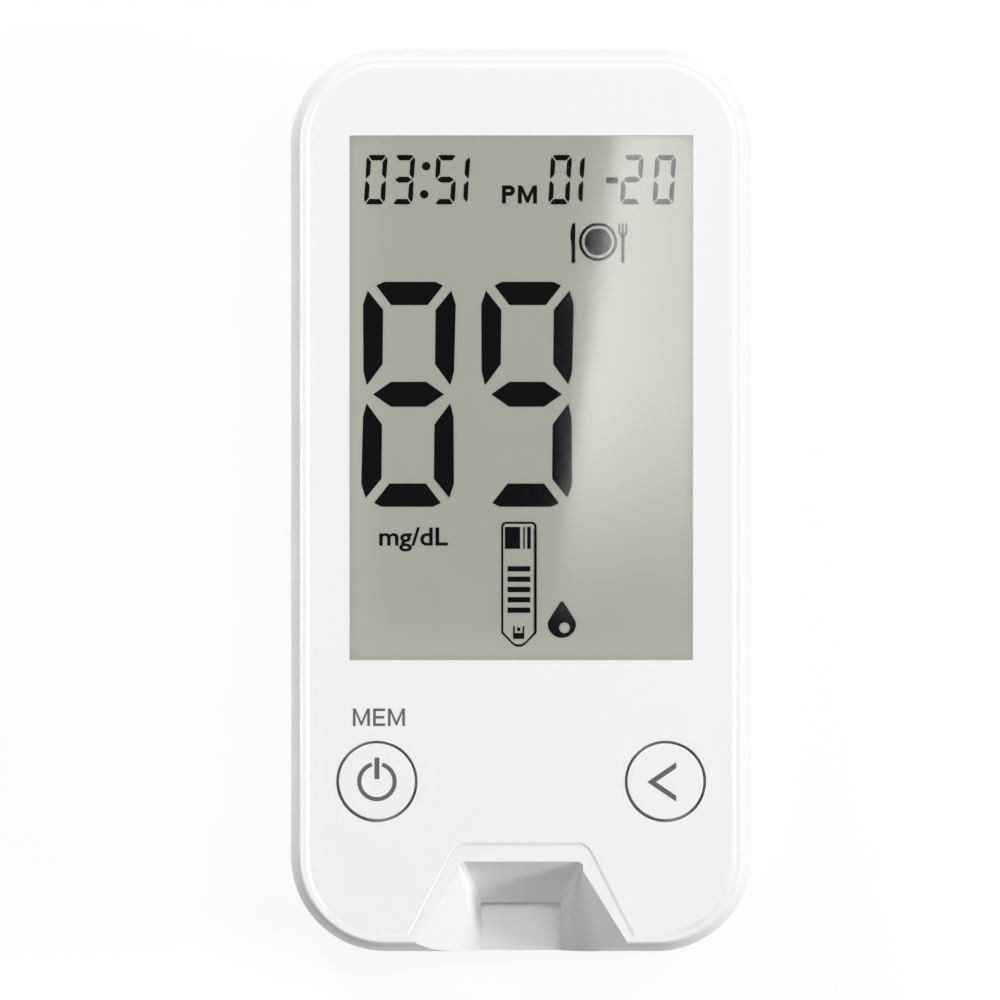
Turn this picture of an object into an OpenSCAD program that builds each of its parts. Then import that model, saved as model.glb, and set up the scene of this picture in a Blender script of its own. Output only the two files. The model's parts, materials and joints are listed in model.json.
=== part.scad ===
// Blood glucose meter: a palm-size case in two shells, a liquid crystal display
// under a flush window, two round keys, a test strip port cut into the lower end
// and a battery door that slides off the back. Millimetres. The meter lies on its
// back: X is its width, +Y points to the top of the display, +Z out of the window.

/* [Case] */
// Width of the case
case_w = 47; // [46:0.5:56]
// Length of the case
case_l = 92; // [91:0.5:104]
// Thickness of the case from back face to front face
case_t = 15.5; // [15:0.1:18]
// Radius of the case's four corners, seen from the front
corner_r = 9.7; // [9:0.1:11]
// Thickness of the side walls
wall_t = 1.6; // [1.4:0.05:1.8]
// Thickness of the front face
face_t = 1.6; // [1.4:0.05:2]
// Thickness of the back
back_t = 1.5; // [1.4:0.05:1.8]
// Radius of the edge round the back
back_r = 3.5; // [3:0.1:4]
// Height of the line where the two shells meet
part_z = 9.5; // [9.2:0.05:10]

/* [Rim] */
// How far the side walls lean in by the time they reach the front
side_lean = 0.95; // [0.6:0.05:1.2]
// Width of the rim between the outer edge and the raised front panel
rim_w = 1.7; // [1.5:0.05:2]
// Height of the front panel above the rim
panel_h = 0.15; // [0.1:0.05:0.3]
// Width of the shallow groove where the shells meet
seam_w = 0.2; // [0.1:0.05:0.3]
// Height of the lip that keys the two shells together
lip_h = 0.9; // [0.6:0.05:1.2]
// Thickness of that lip
lip_t = 0.7; // [0.5:0.05:0.8]

/* [Window] */
// Distance from each side of the case to the window
window_side = 6.05; // [5.9:0.05:7]
// Distance from the top end of the case to the window
window_top = 8.95; // [8.9:0.05:9.2]
// Distance from the lower end of the case to the window
window_low = 29.75; // [29.7:0.05:32]
// Clearance round the window's raised part
window_gap = 0.1; // [0.05:0.01:0.15]
// How far the window's flange reaches under the front face
flange_reach = 1.2; // [1:0.05:1.3]
// Thickness of that flange
flange_t = 0.6; // [0.5:0.05:0.8]

/* [Display] */
// Thickness of the foam gasket under the window
gasket_t = 0.4; // [0.3:0.05:0.5]
// Thickness of the front polarising film
film_t = 0.2; // [0.15:0.01:0.25]
// Thickness of each pane of the liquid crystal cell
pane_t = 0.7; // [0.55:0.05:0.8]
// How far the front pane reaches past the window on each side
pane_reach = 1.15; // [1:0.05:1.2]
// Length of the contact ledge at each end of the front pane
pane_ledge = 1.6; // [1.5:0.05:1.8]
// Clearance round the glass in its frame
pane_gap = 0.15; // [0.1:0.01:0.2]
// Wall of the display frame
frame_wall = 1; // [0.8:0.05:1]
// Width of each rubber connector strip
zebra_w = 1.2; // [1:0.05:1.3]

/* [Keys] */
// Distance from each side of the case to its key's centre
key_side = 8.85; // [8.7:0.05:10]
// Distance from the lower end of the case to the keys' centres
key_up = 17.45; // [17:0.05:18]
// Diameter of a key's round top
key_d = 7.7; // [7:0.02:8]
// Clearance round a key's top
key_gap = 0.29; // [0.2:0.01:0.35]
// Bevel round the top of a key
key_edge = 0.06; // [0.05:0.01:0.15]
// How far a key travels
key_travel = 0.4; // [0.25:0.05:0.45]
// How far a key's collar reaches past its top
collar_reach = 0.9; // [0.7:0.05:1]
// Thickness of a key's collar
collar_t = 1; // [0.8:0.05:1.2]
// Play between a key's collar and the front face
collar_play = 0.05; // [0.03:0.01:0.1]
// Clearance between a key's collar and its sleeve
sleeve_gap = 0.25; // [0.2:0.01:0.3]
// Wall of the sleeve round each key
sleeve_wall = 0.9; // [0.8:0.05:1]
// Diameter of a key's stem
stem_d = 3; // [2.4:0.1:3.2]

/* [Key switches] */
// Side of the square switch housing
switch_w = 6; // [5.6:0.1:6.4]
// Height of the switch housing
switch_h = 1.7; // [1.6:0.05:1.8]
// Diameter of the switch plunger
plunger_d = 3; // [2.6:0.1:3.4]
// Clearance round the switch plunger
plunger_gap = 0.08; // [0.05:0.01:0.12]
// How far the plunger stands out of its housing
plunger_out = 0.45; // [0.45:0.05:0.6]

/* [Strip port] */
// Width of the port where it meets the front panel, at its inner end
port_top_w = 12.3; // [12:0.1:13]
// Width of the port where it runs out of the lower end
port_mouth_w = 22.4; // [20:0.1:23]
// Width of the strip channel's floor
port_floor_w = 8.15; // [8:0.05:8.6]
// Distance from the lower end to the port's inner edge on the front
port_reach = 9.4; // [9:0.1:9.8]
// Distance from the lower end to the foot of the sloping back wall
port_foot = 4.9; // [4.8:0.05:5.2]
// Depth of the channel floor below the board's underside
port_drop = 0.8; // [0.75:0.05:0.9]
// Height of the slot that takes the strip
slot_h = 0.9; // [0.85:0.05:1]
// Wall of the funnel round the port
port_wall = 1.2; // [1:0.05:1.3]
// How far the floor of the port runs in under the slope
shelf_under = 0.5; // [0.4:0.05:0.6]
// Thickness of the channel floor
port_floor_t = 1.5; // [1.2:0.05:1.6]
// Width of the slanted corners between the slope and the side walls
port_corner = 0.3; // [0.2:0.05:0.4]

/* [Board] */
// Thickness of the main board
board_t = 1.2; // [1:0.05:1.2]
// Distance from the front face's underside down to the board
board_drop = 4.9; // [4.8:0.05:5]
// Distance from the case's outline in to the board's edge
board_inset = 1.9; // [1.85:0.05:2]
// Distance from the lower end of the case to the board
board_up = 10.4; // [10.3:0.05:10.6]

/* [Battery bay] */
// Diameter of a coin cell
cell_d = 20; // [19.8:0.1:20]
// Thickness of a coin cell
cell_t = 3.2; // [2.5:0.1:3.2]
// Clearance round each coin cell
cell_gap = 0.3; // [0.2:0.05:0.3]
// Web between the two cell pockets
cell_web = 0.6; // [0.5:0.05:0.8]
// Distance between the cells and the door
door_air = 0.3; // [0.2:0.05:0.4]
// Height left over the cells for their springs
spring_air = 0.7; // [0.6:0.05:0.8]
// Thickness of the bay's roof
roof_t = 1; // [0.8:0.05:1]
// Wall at each end of the bay
bay_wall = 1; // [0.8:0.05:1.1]

/* [Battery door] */
// Length of the door, from the top end of the case
door_l = 46; // [45.8:0.1:46.6]
// Width of the door
door_w = 24.2; // [24:0.1:24.8]
// Thickness of the door
door_t = 1.4; // [1.2:0.05:1.5]
// Clearance round the door
door_gap = 0.2; // [0.12:0.02:0.25]
// How far the door's runners reach into their grooves
runner_w = 1.05; // [0.8:0.05:1.1]
// Height of the door's runners
runner_h = 1; // [0.8:0.05:1]
// Clearance between the runners and their grooves
runner_gap = 0.1; // [0.08:0.01:0.12]
// Width of the rails that hold the runners
rail_w = 2; // [1.8:0.05:2.2]

/* [Fasteners] */
// Thread diameter of the two case screws
case_screw_d = 2.2; // [2:0.1:2.4]
// Head diameter of the case screws
case_head_d = 4; // [3.8:0.1:4.2]
// Distance of each case screw from the case's side
case_screw_in = 7.5; // [7.3:0.1:7.8]
// Distance of the case screws from the lower end
case_screw_up = 7; // [6.9:0.1:7.2]
// Thread diameter of the four board screws
board_screw_d = 1.6; // [1.4:0.1:1.8]
// Head diameter of the board screws
board_head_d = 3; // [2.8:0.1:3.2]
// Height of a board screw's head
board_head_h = 1; // [0.8:0.05:1]
// Distance of the lower board screws above the keys' centres
board_screw_up = 7.1; // [7:0.05:7.4]
// Distance of the lower board screws from the case's side
board_screw_side = 5.1; // [5:0.05:5.4]
// Distance of the upper board screws from the case's side
board_screw_high_side = 7.1; // [7:0.05:7.4]
// Distance of the upper board screws from the top end
board_screw_top = 4; // [3.9:0.05:4.2]
// Material left over the tip of each screw
tip_cover = 0.9; // [0.7:0.05:1.2]
// Play round a thread in its hole
thread_play = 0.05; // [0.03:0.01:0.08]

/* [Parts on the board] */
// Side of the processor chip
processor_w = 9; // [8:0.5:10]
// Side of the memory chip
memory_w = 4.6; // [4:0.1:5]
// Side of the amplifier chip
amplifier_w = 4; // [3.6:0.1:4.4]
// Height of the chips
chip_h = 1.1; // [0.8:0.05:1.2]
// Length of a chip's lead
lead_l = 0.5; // [0.4:0.05:0.6]
// Length of the quartz crystal's can
crystal_l = 5; // [4:0.1:6]
// Diameter of the quartz crystal's can
crystal_d = 1.5; // [1.2:0.05:1.6]
// Length of a capacitor
capacitor_l = 2; // [1.6:0.1:2.2]
// Width of a capacitor
capacitor_w = 1.2; // [1:0.05:1.3]
// Height of a capacitor
capacitor_h = 0.9; // [0.7:0.05:1]
// Distance between capacitors in a row
capacitor_pitch = 2.2; // [2:0.05:2.4]
// Length of a resistor
resistor_l = 1.6; // [1.4:0.05:1.7]
// Width of a resistor
resistor_w = 0.8; // [0.6:0.05:0.9]
// Height of a resistor
resistor_h = 0.45; // [0.35:0.05:0.6]
// Distance between resistors in a row
resistor_pitch = 1.6; // [1.4:0.05:1.8]
// Diameter of the buzzer
buzzer_d = 8; // [7:0.1:8.4]
// Height of the buzzer
buzzer_h = 2.2; // [1.8:0.1:2.6]
// Free board between neighbouring parts
part_gap = 0.7; // [0.5:0.05:0.9]

/* [Strip connector] */
// How far the connector's body reaches past the strip on each side
connector_side = 2.4; // [2:0.1:2.6]
// Length of the connector's body
connector_l = 9.3; // [9:0.1:10]
// Clearance between the channel's slot wall and the connector
connector_gap = 0.1; // [0.08:0.01:0.15]
// Distance between contact springs
contact_pitch = 1.4; // [1.2:0.05:1.5]
// Width of a contact spring
contact_w = 0.7; // [0.5:0.05:0.8]
// Thickness of a contact spring
contact_t = 0.15; // [0.1:0.01:0.2]

/* [Battery contacts] */
// Thickness of a positive clip
clip_t = 0.25; // [0.2:0.01:0.25]
// Width of a positive clip
clip_w = 5; // [4:0.1:6]
// Length of a clip's foot on the board
clip_foot = 2.4; // [2:0.1:3]
// Gap between a clip and its cell
clip_gap = 0.05; // [0.02:0.01:0.05]
// Width of a negative leaf spring
spring_w = 3; // [2.5:0.1:4]
// Thickness of a leaf spring
spring_t = 0.2; // [0.15:0.01:0.25]
// Distance from a cell's middle to its leaf spring's tail
tail_in = 6; // [5:0.1:7]

/* [Back plate] */
// Width of the blank plate
plate_w = 32; // [28:0.5:34]
// Thickness of the blank plate
plate_t = 0.15; // [0.1:0.01:0.2]
// Depth of its recess
plate_sink = 0.25; // [0.2:0.01:0.3]
// Clearance round it
plate_gap = 0.15; // [0.1:0.01:0.2]
// Distance from the lower end of the case to the plate
plate_up = 15; // [14.5:0.1:16]
// Distance from the plate to the door
plate_to_door = 7; // [6:0.1:8]

/* [Hidden] */
$fn = 64;

// Overshoot of a cut past the face that it opens
cut = 1;
half_w = case_w / 2;
half_l = case_l / 2;
window_w = case_w - 2 * window_side;
window_h = case_l - window_top - window_low;

// Heights, from the front down
face_in_z = case_t - face_t;
rim_z = case_t - panel_h;
flange_z = face_in_z - flange_t;
gasket_z = flange_z - gasket_t;
film_z = gasket_z - film_t;
front_pane_z = film_z - pane_t;
rear_pane_z = front_pane_z - pane_t;
reflector_z = rear_pane_z - film_t;
board_z = face_in_z - board_drop;
board_low_z = board_z - board_t;
port_z = board_low_z - port_drop;
foot_z = port_z + slot_h;
foot_run = (port_reach - port_foot) * slot_h / (case_t - foot_z);

// Heights, from the back up
cell_z = door_t + door_air;
cell_top_z = cell_z + cell_t;
bay_top_z = cell_top_z + spring_air;
roof_z = bay_top_z + roof_t;

// Display
window_y = half_l - window_top - window_h / 2;
pane_w = window_w + 2 * pane_reach;
rear_pane_h = window_h + 2 * 0.15;
front_pane_h = rear_pane_h + 2 * pane_ledge;
frame_w = pane_w + 2 * (pane_gap + frame_wall);
frame_h = front_pane_h + 2 * (pane_gap + frame_wall);
frame_ledge = 2;
zebra_y = (rear_pane_h + pane_ledge) / 2;
zebra_l = window_w - 1;
gasket_rim = 0.2;

// Place of the buzzer, just below the display frame
buzzer_at = [0, window_y - frame_h / 2 - buzzer_d / 2 - part_gap];

// Keys
key_x = half_w - key_side;
key_y = -half_l + key_up;
collar_z = face_in_z - collar_play - collar_t;
collar_d = key_d + 2 * collar_reach;
sleeve_in_d = collar_d + 2 * sleeve_gap;
sleeve_out_d = sleeve_in_d + 2 * sleeve_wall;
sleeve_z = collar_z - key_travel - 1;
switch_z = board_z + switch_h;
plunger_top_z = switch_z + plunger_out;
plunger_low_z = switch_z - key_travel;
plunger_bore_z = plunger_low_z - key_travel - 0.1;

// Battery bay
cell_pocket_d = cell_d + 2 * cell_gap;
cell_pitch = cell_pocket_d + cell_web;
bay_mid_y = half_l - bay_wall - wall_t - 0.7 - cell_pocket_d / 2 - cell_pitch / 2;
bay_half_w = cell_pocket_d / 2 + 1.5;
bay_low_y = bay_mid_y - (cell_pitch + cell_pocket_d) / 2 - bay_wall;
bay_high_y = bay_mid_y + (cell_pitch + cell_pocket_d) / 2 + bay_wall;

// Battery door
bay_open_w = door_w + 2 * door_gap;
door_low_y = half_l - door_l;
runner_z = back_t - 0.4;
groove_z = runner_z - runner_gap;
groove_h = runner_h + 2 * runner_gap;
groove_in = runner_w - door_gap + runner_gap + 0.05;
rail_x = bay_open_w / 2;
rail_top_z = groove_z + groove_h + 1.1;
door_rib = 1;
grip_ridges = 6;
grip_pitch = 1.5;

// Blank plate on the back
plate_h = case_l - door_l - plate_up - plate_to_door;
plate_at = [0, -half_l + plate_up + plate_h / 2];

// Screws
case_screws_at = [for (side = [-1, 1]) [side * (half_w - case_screw_in), -half_l + case_screw_up]];
boss_d = case_screw_d + 3;
case_head_z = 1;
case_head_h = 1.4;
case_tip_z = face_in_z - tip_cover;
post_d = board_screw_d + 1.8;
post_low_y = key_y + board_screw_up;
post_low_x = half_w - board_screw_side;
post_high_x = half_w - board_screw_high_side;
post_high_y = half_l - board_screw_top;
board_screws_at = [for (side = [-1, 1])
    for (at = [[post_low_x, post_low_y], [post_high_x, post_high_y]]) [side * at[0], at[1]]];
board_tip_z = face_in_z - 1.6 * tip_cover;

// Hooks at the top end
hook_x = 8.5;
hook_w = 5;
hook_t = 1;
hook_z = roof_z + 0.2;
hook_y = half_l - wall_t - 0.2;
barb_h = 0.8;
barb_out = 0.55;

// The side of the front shell is an arc that starts upright at the parting line
side_top_z = rim_z - 0.28;
// Rounded edge from the side wall to the flat rim: how far in from the wall, how far down
rim_edge = [[0.1, 0.12], [0.2, 0.035], [0.32, 0]];
side_h = side_top_z - part_z;
side_r = (side_h * side_h + side_lean * side_lean) / (2 * side_lean);
lip_gap = 0.1;

// Points given as [distance in from the outline, height], measured from a corner's axis
function inset(points) = [for (p = points) [corner_r - p[0], p[1]]];

// Cross-sections of the two shells, from a corner's axis out to the outline
module front_section() {
    intersection() {
        polygon(inset([[seam_w, part_z], [0, part_z + seam_w], [0, side_top_z],
            [side_lean, side_top_z], for (p = rim_edge) [side_lean + p[0], rim_z - p[1]],
            [rim_w - 0.12, rim_z], [rim_w, rim_z + 0.02],
            [rim_w + panel_h * 1.8, case_t - 0.02], [rim_w + panel_h * 2.4, case_t],
            [corner_r, case_t], [corner_r, face_in_z],
            [wall_t + 1.5, face_in_z], [wall_t + 0.7, face_in_z - 0.6],
            [wall_t + 0.3, part_z + 1.5], [wall_t, part_z],
            [wall_t, part_z - lip_h], [wall_t - lip_t, part_z - lip_h],
            [wall_t - lip_t, part_z]]));
        union() {
            translate([corner_r - side_r, part_z]) circle(side_r, $fn = 360);
            translate([0, side_top_z]) square([corner_r, case_t]);
        }
    }
}

module rear_section() {
    translate([corner_r - back_r, back_r]) quarter_ring(back_r, back_r - wall_t);
    square([corner_r - back_r, back_t]);
    polygon(inset([[0, back_r], [wall_t, back_r], [wall_t, part_z - lip_h - lip_gap],
        [wall_t - lip_t - lip_gap, part_z - lip_h - lip_gap],
        [wall_t - lip_t - lip_gap, part_z], [seam_w, part_z], [0, part_z - seam_w]]));
}

// The quarter of a ring that lies to the right of its centre and below it
module quarter_ring(outer, inner) {
    intersection() {
        difference() {
            circle(outer);
            circle(inner);
        }
        translate([0, -outer]) square(outer);
    }
}

// Sweeps a section round the case's outline: four straight sides and four corners
module round_the_case() {
    for (turn = [0:3]) {
        reach_x = (turn % 2 == 0 ? half_w : half_l) - corner_r;
        reach_y = (turn % 2 == 0 ? half_l : half_w) - corner_r;
        rotate([0, 0, 90 * turn])
            translate([reach_x, reach_y, 0]) {
                rotate_extrude(angle = 90) children();
                rotate([90, 0, 0]) linear_extrude(2 * reach_y) children();
            }
    }
}

// A flat slab between the corner centres, which closes a swept plate
module centre_slab(low, high) {
    translate([corner_r - half_w, corner_r - half_l, low])
        cube([case_w - 2 * corner_r, case_l - 2 * corner_r, high - low]);
}

// A box centred on X and Y, standing on a height
module block(size_x, size_y, low, high, at = [0, 0]) {
    translate([at[0] - size_x / 2, at[1] - size_y / 2, low])
        cube([size_x, size_y, high - low]);
}

// A rectangular ring on the window's centre
module window_ring(outer_x, outer_y, inner_x, inner_y, low, high) {
    difference() {
        block(outer_x, outer_y, low, high, [0, window_y]);
        block(inner_x, inner_y, low - cut, high + cut, [0, window_y]);
    }
}

// The space of the strip port: a sloping back wall, two slanted corners, and two side
// walls of two flat faces each, which open from the channel floor to the front and to
// the lower end. The fold between the two runs from the top of the slope to the mouth.
module port_space(grow) {
    deep = case_t - port_z;
    end_y = -half_l - cut;
    back_top = [port_top_w / 2, -half_l + port_reach];
    flare = (port_mouth_w - port_top_w) / 2 / (port_reach - rim_w + side_lean);
    mouth_top = [back_top[0] + flare * (back_top[1] - end_y), end_y];
    back_low = [port_floor_w / 2, -half_l + port_foot - foot_run];
    mouth_low = [port_floor_w / 2, end_y];
    start = port_corner / (back_top[1] - end_y);
    rows = [for (i = [0:2]) let (
        share = [0, start, 1][i],
        top = back_top + (mouth_top - back_top) * share,
        foot = back_low + (mouth_low - back_low) * share,
        over = top + (top - foot) * cut / deep,
        lift = i < 2 ? grow : 0,
        out = i < 1 ? grow - port_corner : grow)
        [[-foot[0] - out, foot[1] + lift, port_z], [foot[0] + out, foot[1] + lift, port_z],
            [over[0] + out, over[1] + lift, case_t + cut],
            [-over[0] - out, over[1] + lift, case_t + cut]]];
    last = len(rows) - 1;
    polyhedron(
        points = [for (row = rows) for (p = row) p],
        faces = concat([[0, 1, 2, 3]],
            [for (i = [0:last - 1]) for (side = [0:3]) let (a = 4 * i + side,
                b = 4 * i + (side + 1) % 4) each side == 1
                    ? [[a, a + 4, b], [b, a + 4, b + 4]]
                    : [[a, a + 4, b + 4], [a, b + 4, b]]],
            [[4 * last + 3, 4 * last + 2, 4 * last + 1, 4 * last]]));
}

// The sunken rim that runs round the port on the front panel
module port_rim() {
    inner_y = -half_l + port_reach + rim_w;
    half_inner = port_top_w / 2 + rim_w * 0.62;
    half_outer = port_mouth_w / 2 + rim_w;
    r = 1.5;
    hull()
        for (level = [[0, rim_z], [panel_h * 2.4 + cut, case_t + cut]])
            translate([0, 0, level[1]])
                linear_extrude(0.01)
                    for (side = [-1, 1]) {
                        translate([side * (half_inner - r), inner_y - r])
                            circle(r + level[0], $fn = 24);
                        translate([side * (half_outer - r), -half_l - r])
                            circle(r + level[0], $fn = 24);
                    }
}

module front_cover() {
    color("whitesmoke")
        difference() {
            union() {
                round_the_case() front_section();
                centre_slab(face_in_z, case_t);
                port_funnel();
                for (side = [-1, 1])
                    translate([side * key_x, key_y, sleeve_z])
                        cylinder(d = sleeve_out_d, h = face_in_z - sleeve_z + face_t / 2);
                for (at = case_screws_at)
                    translate([at[0], at[1], part_z])
                        cylinder(d = boss_d, h = face_in_z - part_z + face_t / 2);
                for (at = board_screws_at)
                    translate([at[0], at[1], board_z])
                        cylinder(d = post_d, h = face_in_z - board_z + face_t / 2);
                for (side = [-1, 1]) hook(side * hook_x);
            }
            port_space(0);
            port_rim();
            block(window_w, window_h, face_in_z - cut, case_t + cut, [0, window_y]);
            for (side = [-1, 1])
                translate([side * key_x, key_y, 0]) {
                    translate([0, 0, face_in_z - cut])
                        cylinder(d = key_d + 2 * key_gap, h = face_t + 2 * cut);
                    translate([0, 0, sleeve_z - cut])
                        cylinder(d = sleeve_in_d, h = face_in_z - sleeve_z + cut);
                }
            for (at = case_screws_at)
                translate([at[0], at[1], part_z - cut])
                    cylinder(r = case_screw_d / 2 + thread_play, h = case_tip_z + 0.3 - part_z + cut);
            for (at = board_screws_at)
                translate([at[0], at[1], board_z - cut])
                    cylinder(r = board_screw_d / 2 + thread_play, h = board_tip_z + 0.3 - board_z + cut);
        }
}

// Walls of the strip port, which hang from the front face down to the channel floor
module port_funnel() {
    difference() {
        intersection() {
            port_space(port_wall);
            union() {
                block(case_w, 30, part_z, face_in_z + cut, [0, -half_l + side_lean + 15]);
                block(case_w, 30, port_z + lip_gap, part_z + cut, [0, -half_l + 15]);
            }
        }
        for (opening = [[port_floor_w, -foot_run], [case_w, shelf_under]])
            translate([-opening[0] / 2, -half_l + port_foot + opening[1], port_z - cut])
                cube([opening[0], port_reach, foot_z - port_z + cut]);
    }
}

// A hook that reaches down inside the top end and catches in the rear shell
module hook(x) {
    block(hook_w, hook_t, hook_z, face_in_z + 0.2, [x, hook_y - hook_t / 2]);
    block(hook_w, hook_t, hook_z, hook_z + barb_h, [x, hook_y + barb_out - hook_t / 2]);
}

module rear_cover() {
    color("gainsboro")
        difference() {
            union() {
                round_the_case() rear_section();
                centre_slab(0, back_t);
                for (at = case_screws_at)
                    translate([at[0], at[1], back_t / 2])
                        cylinder(d = boss_d, h = part_z - lip_gap - back_t / 2);
                channel_floor();
                battery_bay();
            }
            port_space(port_wall + lip_gap);
            door_opening();
            for (at = [-1, 1])
                translate([0, bay_mid_y + at * cell_pitch / 2, -cut])
                    cylinder(d = cell_pocket_d, h = bay_top_z + cut);
            for (at = case_screws_at)
                translate([at[0], at[1], 0]) {
                    translate([0, 0, -cut])
                        cylinder(d = case_head_d + 0.4, h = case_head_z + case_head_h + cut);
                    cylinder(d = case_screw_d + 0.3, h = part_z + cut);
                }
            for (side = [-1, 1])
                block(hook_w + 0.4, barb_out + 0.4, hook_z - 0.1, hook_z + barb_h + 0.2,
                    [side * hook_x, half_l - wall_t + barb_out / 2]);
            for (at = [-1, 1]) clip_slots(bay_mid_y + at * cell_pitch / 2);
            block(plate_w + 2 * plate_gap, plate_h + 2 * plate_gap, -cut, plate_sink, plate_at);
        }
}

// The shelf that a test strip slides over
module channel_floor() {
    shelf_l = port_foot + shelf_under;
    block(port_floor_w + 5, shelf_l - wall_t / 2, port_z - port_floor_t, port_z,
        [0, -half_l + (shelf_l + wall_t / 2) / 2]);
    for (side = [-1, 1])
        block(1, shelf_l - back_r / 2, back_t / 2, port_z - port_floor_t / 2,
            [side * (port_floor_w / 2 + 1), -half_l + (shelf_l + back_r / 2) / 2]);
}

// Rails, pocket walls and roof of the battery bay
module battery_bay() {
    bay_l = bay_high_y - bay_low_y;
    bay_y = (bay_high_y + bay_low_y) / 2;
    shelf_z = groove_z + groove_h;
    rails_l = half_l - back_r - bay_low_y + 2;
    for (side = [-1, 1])
        block(rail_w, rails_l, back_t / 2, rail_top_z,
            [side * (rail_x + rail_w / 2), half_l - back_r - rails_l / 2]);
    block(2 * (rail_x + rail_w), bay_l, shelf_z, rail_top_z, [0, bay_y]);
    block(2 * bay_half_w, bay_l, shelf_z, roof_z, [0, bay_y]);
    block(2 * (rail_x + rail_w), 1.5, back_t / 2, rail_top_z, [0, door_low_y - door_gap - 0.75]);
    block(2 * bay_half_w, half_l - wall_t / 2 - bay_high_y + 0.2, back_r + 0.2, roof_z - 0.6,
        [0, (half_l - wall_t / 2 + bay_high_y - 0.2) / 2]);
}

// The way that the door and its runners slide along
module door_opening() {
    opening_l = door_l + door_gap + cut;
    end_room = wall_t + 0.6;
    mid_y = half_l + cut - opening_l / 2;
    block(bay_open_w, opening_l, -cut, groove_z + groove_h, [0, mid_y]);
    block(bay_open_w + 2 * groove_in, opening_l, groove_z, groove_z + groove_h, [0, mid_y]);
    block(bay_open_w, end_room + cut, -cut, back_r + 0.1, [0, half_l + (cut - end_room) / 2]);
}

// Slots in the bay for the clips and for the springs' tails
module clip_slots(y) {
    block(clip_t + 0.2, clip_w + 0.3, cell_z + 0.6, roof_z + cut, [clip_x + clip_t / 2, y]);
    block(spring_t + 0.3, spring_w + 0.3, bay_top_z - 0.1, roof_z + cut, [-tail_in, y]);
}

// Door: a plate that turns up round the case's edge, with a runner on each side
module battery_door() {
    runner_l = door_l - back_r - 0.8;
    color("gainsboro")
        difference() {
            union() {
                translate([-door_w / 2, 0, 0])
                    rotate([90, 0, 90])
                        linear_extrude(door_w) {
                            translate([half_l - back_r, back_r])
                                quarter_ring(back_r, back_r - door_t);
                            translate([door_low_y, 0])
                                square([half_l - back_r - door_low_y, door_t]);
                        }
                for (side = [-1, 1]) {
                    block(door_rib, runner_l, door_t / 2, runner_z + runner_h,
                        [side * (door_w - door_rib) / 2, door_low_y + runner_l / 2]);
                    block(runner_w + 0.2, runner_l, runner_z, runner_z + runner_h,
                        [side * (door_w / 2 + (runner_w - 0.2) / 2), door_low_y + runner_l / 2]);
                }
            }
            for (i = [0:grip_ridges - 1])
                block(11, grip_pitch / 2, -cut, 0.35, [0, half_l - back_r - 2 - i * grip_pitch]);
            translate([0, half_l - back_r - 2 - grip_ridges * grip_pitch - 2, -cut])
                linear_extrude(cut + 0.3) polygon([[-2.4, -1.6], [2.4, -1.6], [0, 1.6]]);
        }
}

module display_window() {
    color("lightgray", 0.35) {
        block(window_w - 2 * window_gap, window_h - 2 * window_gap, face_in_z - 0.01,
            case_t - 0.1, [0, window_y]);
        block(window_w + 2 * flange_reach, window_h + 2 * flange_reach, flange_z, face_in_z,
            [0, window_y]);
    }
}

module lcd_gasket() {
    color("dimgray")
        window_ring(window_w + 2 * flange_reach, front_pane_h, window_w + 2 * gasket_rim,
            window_h + 2 * gasket_rim, gasket_z, flange_z);
}

module lcd_front_film() {
    color("darkkhaki", 0.4)
        block(window_w + 2 * gasket_rim + 1, window_h + 2 * gasket_rim + 0.6, film_z, gasket_z,
            [0, window_y]);
}

module lcd_front_glass() {
    color("lightcyan", 0.35)
        block(pane_w, front_pane_h, front_pane_z, film_z, [0, window_y]);
}

module lcd_rear_glass() {
    color("lightcyan", 0.35)
        block(pane_w, rear_pane_h, rear_pane_z, front_pane_z, [0, window_y]);
}

module lcd_reflector() {
    color("darkseagreen")
        block(pane_w - 0.4, rear_pane_h - 0.4, reflector_z, rear_pane_z, [0, window_y]);
}

// Frame that carries the display cell above the board, slotted for the rubber strips
module lcd_frame() {
    inner_w = pane_w + 2 * pane_gap;
    inner_h = front_pane_h + 2 * pane_gap;
    color("white")
        difference() {
            window_ring(frame_w, frame_h, inner_w - 2 * frame_ledge, inner_h - 2 * (frame_ledge + 1.4),
                board_z, gasket_z);
            block(inner_w, inner_h, front_pane_z, case_t, [0, window_y]);
            block(inner_w, rear_pane_h + 2 * 0.1, reflector_z, case_t, [0, window_y]);
            for (side = [-1, 1])
                block(zebra_l + 0.3, zebra_w + 0.1, board_z - cut, case_t,
                    [0, window_y + side * zebra_y]);
        }
}

module zebra_strip(side) {
    color("slategray")
        block(zebra_l, zebra_w, board_z, front_pane_z, [0, window_y + side * zebra_y]);
}

module zebra_strip_upper() { zebra_strip(1); }
module zebra_strip_lower() { zebra_strip(-1); }

module main_board() {
    section = [[board_inset, board_low_z], [corner_r, board_low_z], [corner_r, board_z],
        [board_inset, board_z]];
    color("darkgreen")
        difference() {
            union() {
                round_the_case() polygon(inset(section));
                centre_slab(board_low_z, board_z);
            }
            block(case_w, board_up + cut, 0, case_t, [0, -half_l + (board_up - cut) / 2]);
            for (at = board_screws_at)
                translate([at[0], at[1], 0]) cylinder(d = board_screw_d + 0.2, h = case_t);
            for (side = [-1, 1])
                block(hook_w + 0.6, 4 * hook_t, 0, case_t, [side * hook_x, hook_y + 0.7 * hook_t]);
        }
}

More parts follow.
